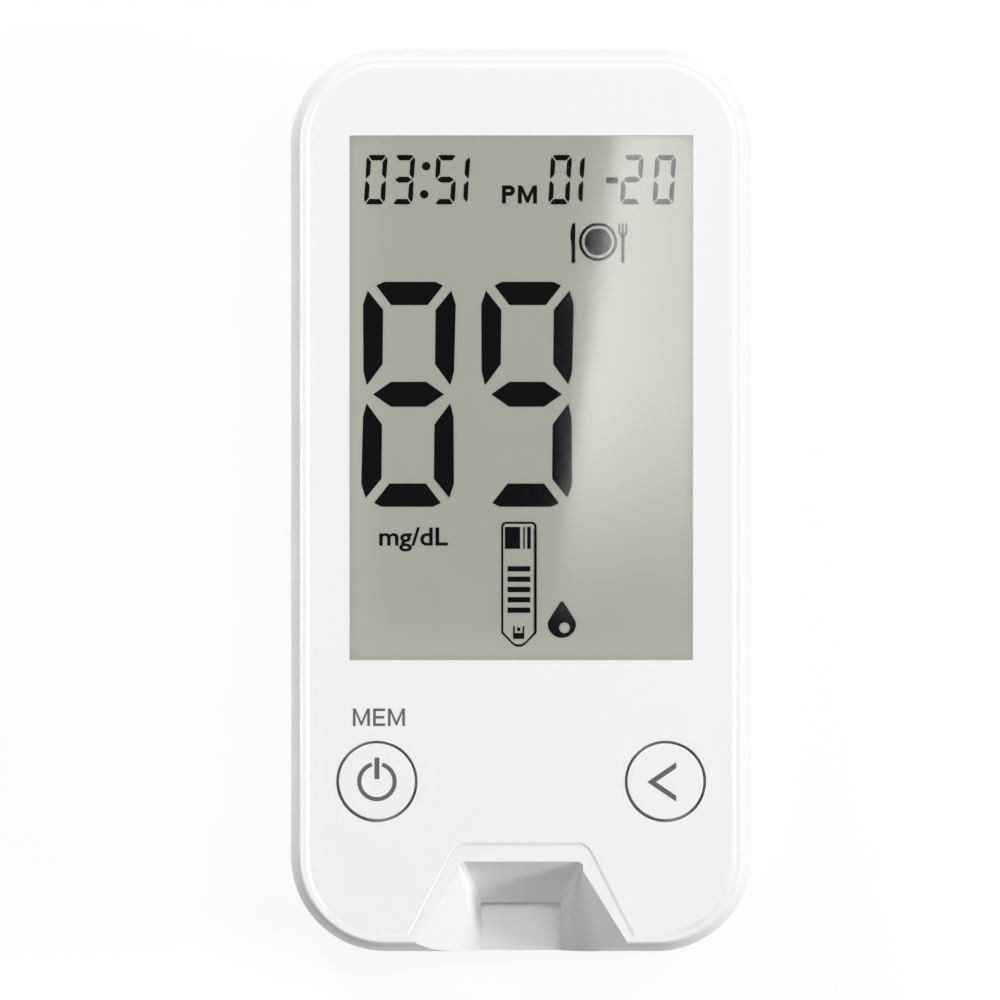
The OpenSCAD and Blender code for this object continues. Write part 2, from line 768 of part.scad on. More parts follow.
// A chip: a moulded body with a row of leads along two or four sides
module chip(size, leads, four_sided, at) {
    lead_w = 0.3;
    lead_t = 0.2;
    pitch = (size - 4 * lead_w) / (leads - 1);
    block(size, size, board_z + lead_t / 4, board_z + chip_h, at);
    for (turn = four_sided ? [0:3] : [0, 2])
        translate([at[0], at[1], board_z])
            rotate([0, 0, 90 * turn])
                for (i = [0:leads - 1])
                    translate([(i - (leads - 1) / 2) * pitch - lead_w / 2, size / 2 - lead_t, 0])
                        cube([lead_w, lead_l + lead_t, lead_t]);
}

processor_at = [-processor_w / 2, window_y + processor_w / 2];
memory_at = [memory_w * 2, processor_at[1] + processor_w / 2];
amplifier_at = [-amplifier_w / 2 - part_gap * 3, buzzer_at[1] - buzzer_d / 2 - amplifier_w / 2 - part_gap];
crystal_at = [memory_at[0], window_y - crystal_l];

module processor_chip() { color("black") chip(processor_w, 12, true, processor_at); }
module memory_chip() { color("black") chip(memory_w, 4, false, memory_at); }
module amplifier_chip() { color("black") chip(amplifier_w, 4, false, amplifier_at); }

module quartz_crystal() {
    lead_w = crystal_d / 5;
    color("silver")
        translate([crystal_at[0], crystal_at[1], board_z]) {
            translate([0, 0, crystal_d / 2]) rotate([90, 0, 0]) cylinder(d = crystal_d, h = crystal_l);
            for (side = [-1, 1])
                block(lead_w, 5 * lead_w, 0, lead_w, [side * crystal_d / 4, 2 * lead_w]);
        }
}

// Small parts in a row: a body with a metal cap at each end
module chip_row(count, wide, long, tall, pitch, at) {
    cap_l = long / 5;
    cap_over = wide / 50;
    for (i = [0:count - 1])
        translate([at[0] + i * pitch, at[1], 0]) {
            block(wide, long - 2 * cap_l, board_z, board_z + tall);
            for (end = [-1, 1])
                block(wide + 2 * cap_over, cap_l, board_z, board_z + tall + cap_over,
                    [0, end * (long - cap_l) / 2]);
        }
}

module capacitor_row(count, at) {
    chip_row(count, capacitor_w, capacitor_l, capacitor_h, capacitor_pitch, at);
}

module resistor_row(count, at) {
    chip_row(count, resistor_w, resistor_l, resistor_h, resistor_pitch, at);
}

bits_x = -window_w / 2 + frame_ledge + 2 * capacitor_w;
module capacitors() {
    below_y = processor_at[1] - processor_w / 2 - lead_l - part_gap - capacitor_l;
    color("tan") {
        capacitor_row(4, [bits_x, below_y]);
        capacitor_row(3, [bits_x + 5 * capacitor_pitch, below_y]);
        capacitor_row(2, [part_gap * 2, amplifier_at[1]]);
    }
}

module resistors() {
    above_y = processor_at[1] + processor_w / 2 + lead_l + part_gap + resistor_l;
    color("darkslategray") {
        resistor_row(5, [bits_x, above_y]);
        resistor_row(3, [part_gap * 2, amplifier_at[1] - capacitor_l / 2 - part_gap - resistor_l / 2]);
    }
}

module buzzer() {
    r = buzzer_d / 2;
    hole_r = buzzer_d / 12;
    color("black")
        translate([buzzer_at[0], buzzer_at[1], board_z])
            rotate_extrude() polygon([[0, 0], [r, 0], [r, buzzer_h - hole_r / 2],
                [r - hole_r / 2, buzzer_h], [hole_r, buzzer_h], [hole_r, buzzer_h * 0.6],
                [0, buzzer_h * 0.6]]);
}

// A key: flush round top, collar that stops it under the face, stem to its switch
module key(x) {
    top_r = key_d / 2;
    color("whitesmoke")
        translate([x, key_y, 0])
            rotate_extrude()
                polygon([[0, plunger_top_z], [stem_d / 2, plunger_top_z], [stem_d / 2, collar_z],
                    [collar_d / 2, collar_z], [collar_d / 2, collar_z + collar_t],
                    [top_r, collar_z + collar_t], [top_r, case_t - key_edge],
                    [top_r - key_edge, case_t], [0, case_t]]);
}

module power_key() { key(-key_x); }
module arrow_key() { key(key_x); }

module plunger(x) {
    r = plunger_d / 2;
    color("dimgray")
        translate([x, key_y, 0])
            rotate_extrude()
                polygon([[0, plunger_low_z], [r, plunger_low_z], [r, plunger_top_z - 0.15],
                    [r - 0.15, plunger_top_z], [0, plunger_top_z]]);
}

module power_plunger() { plunger(-key_x); }
module arrow_plunger() { plunger(key_x); }

// Switch housing with the plunger's bore, four corner rivets and four legs
module switch(x) {
    leg = [0.7, 1, 0.25];
    color("silver")
        difference() {
            union() {
                block(switch_w, switch_w, board_z, switch_z, [x, key_y]);
                for (sx = [-1, 1])
                    for (sy = [-1, 1])
                        block(leg[1], leg[0], board_z, board_z + leg[2],
                            [x + sx * (switch_w + leg[1]) / 2 - sx * 0.1, key_y + sy * switch_w * 0.38]);
            }
            translate([x, key_y, plunger_bore_z])
                cylinder(r = plunger_d / 2 + plunger_gap, h = switch_h);
            for (sx = [-1, 1])
                for (sy = [-1, 1])
                    translate([x + sx * switch_w * 0.4, key_y + sy * switch_w * 0.4, switch_z - 0.2])
                        cylinder(d = 0.6, h = 1);
        }
}

module power_switch() { switch(-key_x); }
module arrow_switch() { switch(key_x); }

// Connector under the board: the strip's mouth, its blind slot and the contact row
connector_w = port_floor_w + 2 * connector_side;
connector_y = -half_l + port_foot + shelf_under + connector_gap;
contact_xs = [for (i = [-2:2]) i * contact_pitch];
strip_room = 0.6;
module strip_connector() {
    end_wall = connector_side / 2;
    slot_l = connector_l - end_wall;
    color("black")
        difference() {
            block(connector_w, connector_l, port_z - end_wall, board_low_z,
                [0, connector_y + connector_l / 2]);
            block(port_floor_w + 2 * connector_gap, slot_l + cut, port_z, port_z + strip_room,
                [0, connector_y + (slot_l - cut) / 2]);
            for (x = contact_xs)
                block(contact_w + connector_gap, connector_l, port_z + strip_room / 2,
                    board_low_z + cut, [x, connector_y + end_wall * 1.4 + connector_l / 2]);
        }
}

// Contact springs: a hump that meets the strip, and a tail along the board
module strip_contacts() {
    high = board_low_z;
    low = port_z + strip_room / 2;
    hump_y = connector_l * 0.4;
    color("gold")
        for (x = contact_xs)
            translate([x, connector_y, 0])
                rotate([90, 0, 90])
                    linear_extrude(contact_w, center = true)
                        polygon([[hump_y / 2, high - contact_t], [hump_y - 0.2, low],
                            [hump_y + 0.2, low], [hump_y * 1.5, high - contact_t],
                            [connector_l + 1, high - contact_t], [connector_l + 1, high],
                            [hump_y * 1.5 - 0.1, high], [hump_y + 0.1, low + contact_t],
                            [hump_y - 0.1, low + contact_t], [hump_y / 2 + 0.1, high]]);
}

// A coin cell with its positive can towards the door
module coin_cell(y) {
    r = cell_d / 2;
    color("silver")
        translate([0, y, cell_z])
            rotate_extrude()
                polygon([[0, 0], [r - 0.4, 0], [r, 0.4], [r, cell_t - 0.7], [r - 0.3, cell_t - 0.4],
                    [r - 1.1, cell_t - 0.4], [r - 1.3, cell_t], [0, cell_t]]);
}

module coin_cell_lower() { coin_cell(bay_mid_y - cell_pitch / 2); }
module coin_cell_upper() { coin_cell(bay_mid_y + cell_pitch / 2); }

clip_x = cell_d / 2 + clip_gap;
// Clips that touch the cells' rims and rise through the roof to the board
module positive_clips() {
    color("gold")
        for (at = [-1, 1])
            translate([0, bay_mid_y + at * cell_pitch / 2, 0]) {
                block(clip_t, clip_w, cell_z + 0.8, board_low_z, [clip_x + clip_t / 2, 0]);
                block(clip_foot, clip_w, board_low_z - clip_t, board_low_z,
                    [clip_x + clip_foot / 2, 0]);
            }
}

// Leaf springs over the cells, each with a tail up to the board
module negative_springs() {
    color("gold")
        for (at = [-1, 1])
            translate([0, bay_mid_y + at * cell_pitch / 2, 0])
                rotate([90, 0, 0])
                    linear_extrude(spring_w, center = true)
                        polygon([[-tail_in - spring_t / 2, board_low_z],
                            [-tail_in - spring_t / 2, bay_top_z - spring_t],
                            [0, cell_top_z], [1.4, cell_top_z],
                            [3.4, cell_top_z + 0.25], [3.4, cell_top_z + 0.25 + spring_t],
                            [1.4, cell_top_z + spring_t], [0, cell_top_z + spring_t],
                            [-tail_in + spring_t / 2, bay_top_z],
                            [-tail_in + spring_t / 2, board_low_z]]);
}

// A cross-recessed screw that points up, its head at the bottom
module screw(at, thread_d, head_d, head_h, low, tip) {
    translate([at[0], at[1], 0])
        difference() {
            rotate_extrude()
                polygon([[0, low], [head_d / 2 - 0.2, low], [head_d / 2, low + 0.2],
                    [head_d / 2, low + head_h], [thread_d / 2, low + head_h],
                    [thread_d / 2, tip - thread_d / 2], [0.2, tip], [0, tip]]);
            for (turn = [0, 90])
                translate([0, 0, low - cut])
                    rotate([0, 0, turn])
                        block(head_d * 0.55, head_d * 0.14, 0, cut + head_h * 0.45);
        }
}

module case_screws() {
    color("silver")
        for (at = case_screws_at)
            screw(at, case_screw_d, case_head_d, case_head_h, case_head_z, case_tip_z);
}

module board_screws() {
    color("silver")
        for (at = board_screws_at)
            screw(at, board_screw_d, board_head_d, board_head_h, board_low_z - board_head_h,
                board_tip_z);
}

// Blank self-adhesive plate in a shallow recess on the back
module rating_plate() {
    color("white") block(plate_w, plate_h, plate_sink - plate_t, plate_sink, plate_at);
}

front_cover();
rear_cover();
battery_door();
display_window();
lcd_gasket();
lcd_front_film();
lcd_front_glass();
lcd_rear_glass();
lcd_reflector();
lcd_frame();
zebra_strip_upper();
zebra_strip_lower();
main_board();
processor_chip();
memory_chip();
amplifier_chip();
quartz_crystal();
capacitors();
resistors();
buzzer();
power_key();
arrow_key();
power_plunger();
arrow_plunger();
power_switch();
arrow_switch();
strip_connector();
strip_contacts();
coin_cell_lower();
coin_cell_upper();
positive_clips();
negative_springs();
case_screws();
board_screws();
rating_plate();
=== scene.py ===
# %% [markdown]
# # A blood glucose meter for the bench
# The meter is a white hand-held box with a clear window, a grey-green display behind it, two
# round keys and a notch at its foot where a test strip goes in. Its solid parts are measured
# and made elsewhere and come in as a fixed frame. This lesson gives each of them its finish,
# draws what the display and the print show, and sets the light and the camera.

import json
import math

import bmesh
import bpy
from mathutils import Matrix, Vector

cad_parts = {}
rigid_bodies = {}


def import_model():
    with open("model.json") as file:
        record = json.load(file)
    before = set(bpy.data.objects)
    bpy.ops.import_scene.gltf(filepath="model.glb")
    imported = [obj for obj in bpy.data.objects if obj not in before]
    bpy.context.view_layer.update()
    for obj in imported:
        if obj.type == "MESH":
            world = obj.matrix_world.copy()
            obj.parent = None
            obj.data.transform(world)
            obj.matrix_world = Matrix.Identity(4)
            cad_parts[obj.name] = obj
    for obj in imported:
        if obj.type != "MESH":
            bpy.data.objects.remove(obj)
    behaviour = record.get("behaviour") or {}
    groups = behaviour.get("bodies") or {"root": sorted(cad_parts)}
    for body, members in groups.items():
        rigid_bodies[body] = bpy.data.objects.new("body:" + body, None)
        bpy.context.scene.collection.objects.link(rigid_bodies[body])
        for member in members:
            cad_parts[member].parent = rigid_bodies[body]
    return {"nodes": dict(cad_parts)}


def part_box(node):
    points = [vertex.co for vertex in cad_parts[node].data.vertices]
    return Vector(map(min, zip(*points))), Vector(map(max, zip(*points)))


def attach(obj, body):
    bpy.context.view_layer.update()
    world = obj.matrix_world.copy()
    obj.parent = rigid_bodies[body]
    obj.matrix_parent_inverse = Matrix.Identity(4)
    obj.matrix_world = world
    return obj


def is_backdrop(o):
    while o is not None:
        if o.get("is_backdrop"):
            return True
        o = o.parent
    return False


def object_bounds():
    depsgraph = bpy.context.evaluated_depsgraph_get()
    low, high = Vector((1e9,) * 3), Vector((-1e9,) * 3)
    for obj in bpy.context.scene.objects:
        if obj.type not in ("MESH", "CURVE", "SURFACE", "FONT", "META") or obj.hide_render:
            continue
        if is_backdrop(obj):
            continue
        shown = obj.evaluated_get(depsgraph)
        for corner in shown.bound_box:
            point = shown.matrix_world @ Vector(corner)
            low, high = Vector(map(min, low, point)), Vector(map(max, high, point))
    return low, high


MM = 0.001
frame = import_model()
cad_low, cad_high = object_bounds()
print("box in mm:", [round((b - a) / MM, 2) for a, b in zip(cad_low, cad_high)])

# %% [markdown]
# ## Levels that everything sits on
# Ink lies on the surface that carries it, so each level is read from the solid parts and not
# typed in: if the case grows thicker, the print rises with it.

# %% Read the levels
FACE_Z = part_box("front_cover")[1].z
DISPLAY_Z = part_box("lcd_front_film")[1].z
WINDOW_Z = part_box("display_window")[1].z
INK = 0.012 * MM
print("face", FACE_Z / MM, "window", WINDOW_Z / MM, "display", DISPLAY_Z / MM)


# %% [markdown]
# ## Writing a finish as sums
# A finish is a net of nodes. Small sums such as `1 - mask` are easier to read as sums, so one
# small class holds a socket and turns the usual signs into Math nodes. Every other node comes
# from one method, which sets the node up first and fills its sockets afterwards.


# %% The two helpers behind every finish
class Flow:
    """A value on its way through a finish."""

    def __init__(self, finish, socket):
        self.finish = finish
        self.socket = socket

    def output(self, name):
        return Flow(self.finish, self.socket.node.outputs[name])

    def __add__(self, other):
        return self.finish.sum("ADD", self, other)

    def __radd__(self, other):
        return self.finish.sum("ADD", other, self)

    def __sub__(self, other):
        return self.finish.sum("SUBTRACT", self, other)

    def __rsub__(self, other):
        return self.finish.sum("SUBTRACT", other, self)

    def __mul__(self, other):
        return self.finish.sum("MULTIPLY", self, other)

    def __rmul__(self, other):
        return self.finish.sum("MULTIPLY", other, self)

    def __gt__(self, other):
        return self.finish.sum("GREATER_THAN", self, other)


class Finish:
    """A node net under construction, for a material or for the room around the object."""

    def __init__(self, tree):
        self.tree = tree
        tree.nodes.clear()

    def node(self, kind, settings=None, sockets=None):
        made = self.tree.nodes.new("ShaderNode" + kind)
        for name, value in (settings or {}).items():
            setattr(made, name, value)
        for name, value in (sockets or {}).items():
            if isinstance(value, Flow):
                self.tree.links.new(value.socket, made.inputs[name])
            else:
                made.inputs[name].default_value = value
        return Flow(self, made.outputs[0]) if made.outputs else None

    def sum(self, operation, left, right):
        return self.node("Math", {"operation": operation}, {0: left, 1: right})

    def blend(self, share, plain, other):
        """One colour over another, by a share from 0 to 1."""
        made = self.node("Mix", {"data_type": "RGBA"}, {0: share, 6: plain, 7: other})
        return made.output(2)

    def ramp(self, value, start, end, low, high):
        """A smooth change from low to high while a value goes from start to end."""
        sockets = {"Value": value, 1: start, 2: end, 3: low, 4: high}
        return self.node("MapRange", {"interpolation_type": "SMOOTHSTEP"}, sockets)

    def place(self):
        return self.node("TexCoord").output("Object")

    def grain(self, size, detail=2.0, stretch=(1, 1, 1)):
        """Random mottling whose blotches are about size across, in metres."""
        at = self.node("Mapping", {}, {"Vector": self.place(), "Scale": stretch})
        sockets = {"Vector": at, "Scale": 1 / size, "Detail": detail}
        return self.node("TexNoise", {"noise_dimensions": "3D"}, sockets).output("Fac")

    def relief(self, height, depth, strength=1.0):
        """The surface normal over a relief that is depth high, in metres."""
        sockets = {"Height": height, "Distance": depth, "Strength": strength}
        return self.node("Bump", {}, sockets)

    def skin(self, **sockets):
        named = {name.replace("_", " "): value for name, value in sockets.items()}
        return self.node("BsdfPrincipled", {"distribution": "MULTI_GGX"}, named)

    def done(self, shader):
        self.node("OutputMaterial", {}, {"Surface": shader})


def new_finish(name):
    material = bpy.data.materials.new(name)
    material.use_nodes = True
    print("finish:", name)
    return material, Finish(material.node_tree)


WHITE, BLACK = (1, 1, 1, 1), (0, 0, 0, 1)


def shade(colour, factor):
    """A colour made lighter or darker, as the four numbers that a colour socket wants."""
    return tuple(min(1, channel * factor) for channel in colour[:3]) + (1,)


# %% [markdown]
# ## Moulded plastic
# The case is injection-moulded ABS with a fine satin texture that the mould leaves behind.
# Close up, such plastic is never one colour: the tone drifts a little, and a fine grain breaks
# up the shine. Three noises do that: a broad one for tone, a middle one for shine and a fine
# one for relief. The same recipe serves every moulded part, so it is one function.


# %% Moulded plastic
TONE_PATCH, SHINE_PATCH = 9 * MM, 1.3 * MM


def moulded(name, colour, rough, grain_size, depth, drift=0.03, shine=0.5):
    material, finish = new_finish(name)
    broad = finish.grain(TONE_PATCH, 3)
    middle = finish.grain(SHINE_PATCH, 2)
    fine = finish.grain(grain_size, 3)
    tone = finish.blend(broad, shade(colour, 1 - drift), shade(colour, 1 + drift))
    tone = finish.blend(0.12 * fine, tone, shade(colour, 0.82))
    finish.done(
        finish.skin(
            Base_Color=tone,
            Roughness=rough - 0.06 + 0.12 * middle,
            Specular_IOR_Level=shine,
            Normal=finish.relief(fine, depth, 0.6),
        )
    )
    return material


CASE_WHITE = (0.86, 0.862, 0.866)
case_plastic = moulded("case_plastic", CASE_WHITE, 0.34, 0.16 * MM, 0.002 * MM, 0.006, 0.35)
key_plastic = moulded("key_plastic", CASE_WHITE, 0.3, 0.14 * MM, 0.002 * MM, 0.006, 0.35)
frame_plastic = moulded("frame_plastic", (0.8, 0.8, 0.78), 0.5, 0.2 * MM, 0.006 * MM)
dark_plastic = moulded("dark_plastic", (0.055, 0.055, 0.06), 0.5, 0.2 * MM, 0.006 * MM)
chip_epoxy = moulded("chip_epoxy", (0.022, 0.022, 0.025), 0.55, 0.09 * MM, 0.004 * MM, 0.1)
label_film = moulded("label_film", (0.79, 0.79, 0.79), 0.4, 0.1 * MM, 0.001 * MM, 0.01)
foam = moulded("foam", (0.03, 0.03, 0.034), 0.95, 0.25 * MM, 0.06 * MM, 0.2)

# %% [markdown]
# ## Clear window and display glass
# The window is polished acrylic. Light mostly goes straight through it, and a small share comes
# back off its front, more of it at a slant. A Fresnel node gives that share. It is kept to the
# front faces, since a ray inside the thin sheet would otherwise be held there for good. Faint
# smears in the roughness keep the sheet from looking like a hole.


# %% Clear sheets
CLEAR_IOR = 1.49


def clear_sheet(name, tint, smear):
    """Mostly clear, with a share of shine that grows at a slant."""
    material, finish = new_finish(name)
    inside = finish.node("NewGeometry").output("Backfacing")
    share = finish.node("Fresnel", {}, {"IOR": CLEAR_IOR}) * (1 - inside)
    smears = finish.grain(9 * MM, 1, (1, 0.4, 1))
    through = finish.node("BsdfTransparent", {}, {"Color": tint})
    glints = finish.node("BsdfGlossy", {}, {"Roughness": smear * (0.5 + smears)})
    finish.done(finish.node("MixShader", {}, {0: share, 1: through, 2: glints}))
    return material


window_clear = clear_sheet("window_clear", (0.985, 0.99, 0.985, 1), 0.03)
pane_glass = clear_sheet("pane_glass", (0.93, 0.97, 0.95, 1), 0.02)


# %% [markdown]
# ## The display's grey-green film
# Behind the window lies a liquid-crystal cell with a polarising film on it. What the eye sees is
# the reflector's grey-green, dulled by the film, with a faint cloudiness and a very fine
# brushing. Modelling every optical layer would cost many clear layers in a row, so the film
# carries the colour of the whole stack.


# %% Display film and reflector
def display_film(name, colour, rough):
    material, finish = new_finish(name)
    cloud = finish.grain(5 * MM, 3)
    brushing = finish.grain(0.4 * MM, 2, (1, 0.15, 1))
    tone = finish.blend(cloud, shade(colour, 0.965), shade(colour, 1.035))
    tone = finish.blend(0.25 * brushing, tone, shade(colour, 0.9))
    normal = finish.relief(brushing, 0.001 * MM)
    finish.done(
        finish.skin(
            Base_Color=tone,
            Roughness=rough - 0.05 + 0.1 * cloud,
            Specular_IOR_Level=0.15,
            Normal=normal,
        )
    )
    return material


DISPLAY_GREY = (0.425, 0.432, 0.37)
film_grey = display_film("film_grey", DISPLAY_GREY, 0.55)
reflector_grey = display_film("reflector_grey", (0.37, 0.38, 0.32), 0.4)


# %% [markdown]
# ## Metal and rubber inside
# Springs, clips, screws and cells are rolled or plated metal. Rolling leaves fine lines, which
# is noise pulled out long in one direction. Rubber strips carry the display's lines in layers,
# dark and light in turn. Resistors and capacitors are fired ceramic with fine specks.


# %% Metals, rubber and ceramics
def rolled_metal(name, colour, rough, stretch=(1, 0.06, 1)):
    material, finish = new_finish(name)
    lines = finish.grain(0.12 * MM, 3, stretch)
    stain = finish.grain(2.5 * MM, 3)
    tone = finish.blend(stain, shade(colour, 0.9), shade(colour, 1.06))
    finish.done(
        finish.skin(
            Base_Color=tone,
            Metallic=1.0,
            Roughness=rough - 0.08 + 0.16 * lines,
            Normal=finish.relief(lines, 0.003 * MM),
        )
    )
    return material


steel = rolled_metal("steel", (0.6, 0.6, 0.61), 0.34)
cell_steel = rolled_metal("cell_steel", (0.7, 0.695, 0.68), 0.3, (0.1, 1, 1))
contact_gold = rolled_metal("contact_gold", (0.83, 0.62, 0.27), 0.28)


def layered_rubber(name):
    material, finish = new_finish(name)
    pitch = {"Vector": finish.place(), "Scale": 1 / (1.2 * MM), "Distortion": 0.2}
    layers = finish.node("TexWave", {"bands_direction": "X"}, pitch).output("Fac")
    fine = finish.grain(0.15 * MM)
    tone = finish.blend(layers > 0.5, (0.42, 0.42, 0.43, 1), (0.03, 0.03, 0.032, 1))
    normal = finish.relief(fine + layers, 0.01 * MM)
    finish.done(finish.skin(Base_Color=tone, Roughness=0.75 + 0.1 * fine, Normal=normal))
    return material


def fired_ceramic(name, colour):
    material, finish = new_finish(name)
    specks = finish.grain(0.1 * MM, 3)
    tone = finish.blend(specks, shade(colour, 0.8), shade(colour, 1.2))
    normal = finish.relief(specks, 0.003 * MM)
    finish.done(finish.skin(Base_Color=tone, Roughness=0.3 + 0.2 * specks, Normal=normal))
    return material


strip_rubber = layered_rubber("strip_rubber")
ceramic_tan = fired_ceramic("ceramic_tan", (0.5, 0.38, 0.24))
ceramic_black = fired_ceramic("ceramic_black", (0.03, 0.03, 0.035))


# %% [markdown]
# ## The board
# A circuit board is woven glass under a green lacquer. Copper tracks under the lacquer show as
# lighter lines, and the weave shows as a faint relief. A brick pattern cut by a threshold reads
# as tracks running in blocks, which is near enough for a part that lies hidden in the case.


# %% Circuit board
TRACK_BLOCK, WEAVE = 6 * MM, 0.9 * MM


def board_lacquer(name):
    material, finish = new_finish(name)
    rows = {"Vector": finish.place(), "Scale": 1 / TRACK_BLOCK, "Mortar Size": 0.06}
    tracks = finish.node("TexBrick", {}, rows).output("Fac")
    threads = {"Vector": finish.place(), "Scale": 1 / WEAVE}
    warp = finish.node("TexWave", {"bands_direction": "X"}, threads).output("Fac")
    weft = finish.node("TexWave", {"bands_direction": "Y"}, threads).output("Fac")
    cloud = finish.grain(3 * MM, 3)
    tone = finish.blend(cloud, (0.016, 0.13, 0.05, 1), (0.026, 0.18, 0.075, 1))
    tone = finish.blend(tracks, tone, (0.07, 0.3, 0.12, 1))
    normal = finish.relief(0.3 * (warp + weft) + tracks, 0.02 * MM)
    finish.done(
        finish.skin(Base_Color=tone, Roughness=0.3 + 0.15 * cloud, Normal=normal)
    )
    return material


board_green = board_lacquer("board_green")

# %% [markdown]
# ## Dressing the parts
# Every solid part has its finish now. A table from finish to parts shows at a glance what is
# made of what, and a count at the end tells whether a part was left out.

# %% Give every solid part its finish
FINISH_OF = {
    case_plastic: ["front_cover", "rear_cover", "battery_door"],
    key_plastic: ["power_key", "arrow_key"],
    frame_plastic: ["lcd_frame"],
    dark_plastic: ["power_plunger", "arrow_plunger", "strip_connector", "buzzer"],
    chip_epoxy: ["processor_chip", "memory_chip", "amplifier_chip"],
    label_film: ["rating_plate"],
    foam: ["lcd_gasket"],
    window_clear: ["display_window"],
    pane_glass: ["lcd_front_glass", "lcd_rear_glass"],
    film_grey: ["lcd_front_film"],
    reflector_grey: ["lcd_reflector"],
    steel: ["quartz_crystal", "power_switch", "arrow_switch", "case_screws", "board_screws"],
    cell_steel: ["coin_cell_lower", "coin_cell_upper"],
    contact_gold: ["strip_contacts", "positive_clips", "negative_springs"],
    strip_rubber: ["zebra_strip_upper", "zebra_strip_lower"],
    ceramic_tan: ["capacitors"],
    ceramic_black: ["resistors"],
    board_green: ["main_board"],
}
for material, names in FINISH_OF.items():
    for name in names:
        frame["nodes"][name].data.materials.clear()
        frame["nodes"][name].data.materials.append(material)
dressed = sum(len(names) for names in FINISH_OF.values())
print("dressed:", dressed, "of", len(frame["nodes"]))

# %% [markdown]
# ## Ink as thin plates
# The dark shapes on a display and the print on a case are flat, sharp-edged and very thin. Each
# is drawn as an outline in millimetres and raised by about a hundredth of a millimetre, so that
# it is a true closed solid and stays sharp at any zoom. Two recipes cover all but the letters of
# the unit: a filled outline and a band between two loops.


# %% Thin plates from outlines
def solid_plate(mesh, outline, level):
    """A closed plate on a level, from an outline that runs anticlockwise, in millimetres."""
    lower = [mesh.verts.new((x * MM, y * MM, level)) for x, y in outline]
    upper = [mesh.verts.new((x * MM, y * MM, level + INK)) for x, y in outline]
    mesh.faces.new(upper)
    mesh.faces.new(lower[::-1])
    for a in range(len(outline)):
        b = (a + 1) % len(outline)
        mesh.faces.new((lower[a], lower[b], upper[b], upper[a]))


def band_plate(mesh, outer, inner, level, closed=True):
    """A closed plate between two loops or lines with the same number of points."""
    top = level + INK
    rings = [
        [mesh.verts.new((x * MM, y * MM, z)) for x, y in line]
        for line, z in ((outer, top), (inner, top), (inner, level), (outer, level))
    ]
    count = len(outer)
    for a in range(count if closed else count - 1):
        b = (a + 1) % count
        for r in range(4):
            this, following = rings[r], rings[(r + 1) % 4]
            mesh.faces.new((this[a], this[b], following[b], following[a]))
    if not closed:
        mesh.faces.new([ring[0] for ring in rings])
        mesh.faces.new([ring[-1] for ring in rings][::-1])


def arc(centre, radius, start, end, steps):
    """Points on a circle from one angle to another, in degrees."""
    points = []
    for step in range(steps + 1):
        turn = math.radians(start + (end - start) * step / steps)
        x = centre[0] + radius * math.cos(turn)
        points.append((x, centre[1] + radius * math.sin(turn)))
    return points


def circle(centre, radius, count, start=0):
    """A full circle of evenly spread points."""
    return arc(centre, radius, start, start + 360 * (count - 1) / count, count - 1)


# %% From a drawing to a piece
def add_object(name, mesh, material):
    """Turn a finished mesh into an object of the scene."""
    data = bpy.data.meshes.new(name)
    mesh.to_mesh(data)
    mesh.free()
    data.materials.append(material)
    thing = bpy.data.objects.new(name, data)
    bpy.context.scene.collection.objects.link(thing)
    print(name, len(data.polygons), "faces")
    return thing


def keep_piece(name, mesh, material, body, slot):
    """Turn a finished mesh into a piece that moves with a body."""
    bmesh.ops.recalc_face_normals(mesh, faces=mesh.faces)
    piece = add_object(name, mesh, material)
    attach(piece, body)
    piece["on_display"] = slot == "display_grey"


# %% [markdown]
# ## Ink colours
# Driven display segments are nearly black with a trace of blue, and a half driven one is paler.
# The print on the case is a mid grey. All get a slight mottling: segments from the cell's
# texture, print from the pad that pressed it on.


# %% Three inks
def ink(name, colour, rough, shine):
    material, finish = new_finish(name)
    mottle = finish.grain(0.3 * MM, 3)
    tone = finish.blend(mottle, shade(colour, 0.85), shade(colour, 1.15))
    rough = rough - 0.05 + 0.1 * mottle
    finish.done(finish.skin(Base_Color=tone, Roughness=rough, Specular_IOR_Level=shine))
    return material


segment_ink = ink("segment_ink", (0.006, 0.006, 0.0065), 0.6, 0.0)
faint_ink = ink("faint_ink", (0.12, 0.12, 0.11), 0.6, 0.0)
print_ink = ink("print_ink", (0.115, 0.117, 0.12), 0.5, 0.3)


def keep_on_display(name, mesh, material=segment_ink):
    """A piece that shows on the display, which moves with the case."""
    keep_piece(name, mesh, material, "case", "display_grey")


# %% [markdown]
# ## Seven-segment figures
# Each figure is made of seven bars: three across, four upright, with mitred gaps between them
# where the wires of the cell run. All bars follow from the figure's half width, half height and
# bar thickness, so one function draws both the large reading and the small clock. The figures
# lean a little, as they do on most such displays, so that a 1 looks less stiff.


# %% Bars of a figure
BARS = {
    "0": "abcdef",
    "1": "bc",
    "2": "abged",
    "3": "abgcd",
    "5": "afgcd",
    "8": "abcdefg",
    "9": "abcdfg",
}


